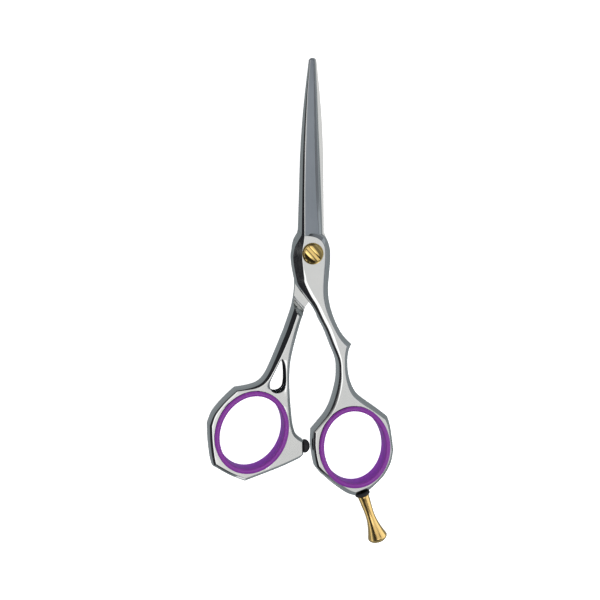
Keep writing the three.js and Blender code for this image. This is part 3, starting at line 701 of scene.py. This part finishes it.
# Pivot screw.
# A gold-plated turned screw with a low dome, a saw-cut slot and a plain shank. It holds the halves
# together and sets their tension.
gold = metal("gold_plate", (0.90, 0.66, 0.26), (0.82, 0.56, 0.19), 0.09, 0.04, (1, 1, 1), 900, 0.05)
SLOT_DEGREES = 48
SLOT_WIDTH = 0.85
DOME_TOP = 7.27
PILLOW = 1.1
HEAD_RINGS = np.linspace(0.2, 2.8, 14).round(3)
SCREW = [
    [0, 7.2], *[[r, 7.2] for r in HEAD_RINGS],
    [2.9, 6.56], [3.0, 6.54], [3.2, 6.45], [3.34, 6.36], [3.42, 6.28], [3.42, 6.2],
    [3.36, 6.15], [1.9, 6.15], [1.9, 2.5], [1.5, 2.5], [1.5, 0.1], [1.4, 0], [0, 0],
]


def piece(made, body, node):
    """Puts a finished piece on its body, in place of its CAD node."""
    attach(made, body)
    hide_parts(node)


def box_tool(name, size, centre, degrees):
    """A cutter with square corners, turned about Z."""
    turn = np.radians(degrees)
    signs = np.array([[x, y, z] for z in (-1, 1) for x, y in ((-1, -1), (1, -1), (1, 1), (-1, 1))])
    x, y, z = (signs * np.array(size) / 2).T
    points = np.column_stack([x * np.cos(turn) - y * np.sin(turn),
                              x * np.sin(turn) + y * np.cos(turn), z]) + centre
    faces = [[3, 2, 1, 0], [4, 5, 6, 7]] + ring_faces(4, 2)
    return mesh_object(name, points, faces)


screw = turned("screw_gold", SCREW[::-1], [0, 0, 1], np.zeros(3), gold)

# The dome is a pillow on each side of the slot: z falls from DOME_TOP by 0.035 of the square of the
# way out from the middle, and by the square of the distance from a line PILLOW away from the slot's
# middle, more steeply on the slot's side of that line.
at = np.empty(len(screw.data.vertices) * 3)
screw.data.vertices.foreach_get("co", at)
at = at.reshape(-1, 3) / MM
from_slot = np.abs(at @ [np.sin(np.radians(SLOT_DEGREES)), np.cos(np.radians(SLOT_DEGREES)), 0])
steep = np.where(from_slot < PILLOW, 0.32, 0.15)
crowned = DOME_TOP - 0.035 * (at[:, 0] ** 2 + at[:, 1] ** 2) - steep * (from_slot - PILLOW) ** 2
at[:, 2] = np.where(at[:, 2] > 7.1, crowned, at[:, 2])
screw.data.vertices.foreach_set("co", (at * MM).ravel())
carve(screw, box_tool("slot", (11, SLOT_WIDTH, 1.0), [0, 0, 7.22], -SLOT_DEGREES), "DIFFERENCE")
screw.data.set_sharp_from_angle(angle=np.radians(30))
rounds = screw.modifiers.new("small_rounds", "BEVEL")
rounds.limit_method = "ANGLE"
rounds.angle_limit = np.radians(34)
rounds.width = 0.06 * MM
rounds.segments = 2
flat_faces = screw.modifiers.new("flat_faces", "WEIGHTED_NORMAL")
screw.data.polygons.foreach_set("use_smooth", np.ones(len(screw.data.polygons), bool))
piece(screw, "tension_screw", "pivot_screw")


# Ring inserts.
# Soft purple plastic sleeves pressed into the finger holes: a rounded lip on the face, a smooth
# wall and a catch that snaps in underneath.
INSERT = [
    [-0.45, 6.84], [-0.20, 6.91], [0.15, 6.90], [0.45, 6.80], [0.64, 6.68], [0.76, 6.53],
    [0.83, 6.38], [0.84, 6.28], [0.80, 6.20], [-0.30, 6.20], [-0.30, 0.9], [0.15, 0.38],
    [0.10, 0.18], [-0.10, 0.15], [-0.58, 0.15], [-0.74, 0.25], [-0.80, 0.5], [-0.80, 6.2],
    [-0.77, 6.45], [-0.66, 6.69],
]


def plastic(name, colour, deep, roughness, bump):
    """Moulded plastic or rubber: a colour that drifts a little and a fine moulded grain."""
    made, shader, nodes, links, _ = worked(
        name, colour, deep, roughness, 0.0, (1, 1, 1), 1500, bump)
    shader.inputs["Specular IOR Level"].default_value = 0.06
    shader.inputs["Coat Roughness"].default_value = 0.25
    return made, shader, nodes, links


# Painted shade: below the lip, down the sleeve's wall inside the hole, the purple is painted deeper
# and bluer. Only the lip is glossy.
purple, shader, nodes, links = plastic(
    "purple_plastic", (0.215, 0.036, 0.29), (0.19, 0.03, 0.265), 0.32, 0.1)
at_lip = nodes.new("ShaderNodeMapRange")
at_lip.inputs["From Min"].default_value = 5.6 * MM
at_lip.inputs["From Max"].default_value = 6.7 * MM
coords = nodes.new("ShaderNodeTexCoord")
split = nodes.new("ShaderNodeSeparateXYZ")
# Painted shade: lower down the wall, the colour is mixed towards a deeper, bluer purple.
painted_wall_shade = nodes.new("ShaderNodeMix")
painted_wall_shade.data_type = "RGBA"
painted_wall_shade.inputs["A"].default_value = (0.21, 0.016, 0.35, 1)
links.new(coords.outputs["Object"], split.inputs[0])
links.new(split.outputs["Z"], at_lip.inputs["Value"])
links.new(at_lip.outputs[0], painted_wall_shade.inputs[0])
gloss = nodes.new("ShaderNodeMath")
gloss.operation = "MULTIPLY"
gloss.inputs[1].default_value = 0.6
links.new(at_lip.outputs[0], gloss.inputs[0])
links.new(gloss.outputs[0], shader.inputs["Coat Weight"])
links.new(shader.inputs["Base Color"].links[0].from_socket, painted_wall_shade.inputs["B"])
links.new(painted_wall_shade.outputs["Result"], shader.inputs["Base Color"])
SLEEVE_SIDES = 160
for side, hole in (("thumb", THUMB_HOLE), ("finger", FINGER_HOLE)):
    faces = [face[::-1] for face in ring_faces(SLEEVE_SIDES, len(INSERT), closed=True)]
    sleeve = mesh_object(side + "_insert_purple",
                         round_hole(INSERT, SLEEVE_SIDES, **hole).reshape(-1, 3), faces, purple)
    piece(sleeve, side + "_side", side + "_ring_insert")


# Bumper.
# A moulded black rubber dome on a stem, pushed into the boss so that the rings meet softly.
rubber = plastic("black_rubber", (0.030, 0.030, 0.032), (0.022, 0.022, 0.024), 0.42, 0.3)[0]
dome = np.radians(np.linspace(88, 0, 18))
BUMPER = [[0, 2.45], *np.column_stack([2.2 * np.cos(dome), 0.75 + 1.7 * np.sin(dome)]).tolist(),
          [2.2, 0.5], [2.1, 0.32], [1.95, 0.30], [1.1, 0.30], [1.1, -2.5], [1.0, -2.6], [0, -2.6]]
piece(turned("bumper_rubber", BUMPER[::-1], BOSS_OUT, BOSS, rubber),
      "thumb_side", "bumper")


# Tang.
# The little finger's rest: a turned, gold-plated trumpet with a flared domed end, screwed into
# the ring on a threaded stud over a black washer.
TANG_SIDE = [[1.9, 1.2], [1.7, 4], [1.5, 8], [1.75, 11], [2.45, 14], [3.15, 16.1]]
TANG = [[0, -2.0], [0.9, -2.0], [1.0, -1.9], [1.0, 1.2], [1.8, 1.2],
        *smooth_run([[*row, 0] for row in TANG_SIDE], 0.4)[1:, :2].tolist(),
        [3.15, 16.1], [3.2, 16.28], [3.2, 16.5], [3.12, 16.8], [2.95, 17.1], [2.65, 17.45],
        [2.25, 17.75], [1.75, 17.95], [1.2, 18.12], [0.55, 18.24], [0, 18.27]]
soft_gold = metal(
    "brushed_gold", (0.88, 0.62, 0.25), (0.82, 0.54, 0.19), 0.17, 0.05, (1, 1, 1), 900, 0.05)
piece(turned("tang_gold", TANG, SEAT_OUT, SEAT, soft_gold), "finger_side", "tang")
WASHER = [[1.0, 0.04], [2.2, 0.04], [2.38, 0.15], [2.45, 0.4], [2.45, 0.8], [2.38, 1.0],
          [2.2, 1.12], [1.0, 1.12]]
piece(turned("tang_washer_rubber", WASHER, SEAT_OUT, SEAT, rubber),
      "finger_side", "tang_washer")


# Bush, glide washer, lock ring and spring.
# The pieces inside the pivot: white nylon round the shank, between the halves and under the
# thread, and a coned steel washer under the screw's head. They show only when it is opened.
nylon = plastic("white_nylon", (0.80, 0.78, 0.72), (0.74, 0.72, 0.66), 0.45, 0.2)[0]
spring_steel = metal(
    "spring_steel", (0.50, 0.50, 0.52), (0.42, 0.42, 0.44), 0.25, 0.1, (1, 1, 1), 900, 0.1)
for node, finish in (("pivot_bush", nylon), ("glide_washer", nylon), ("thread_lock_ring", nylon),
                     ("tension_spring", spring_steel)):
    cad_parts[node].data.materials.clear()
    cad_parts[node].data.materials.append(finish)
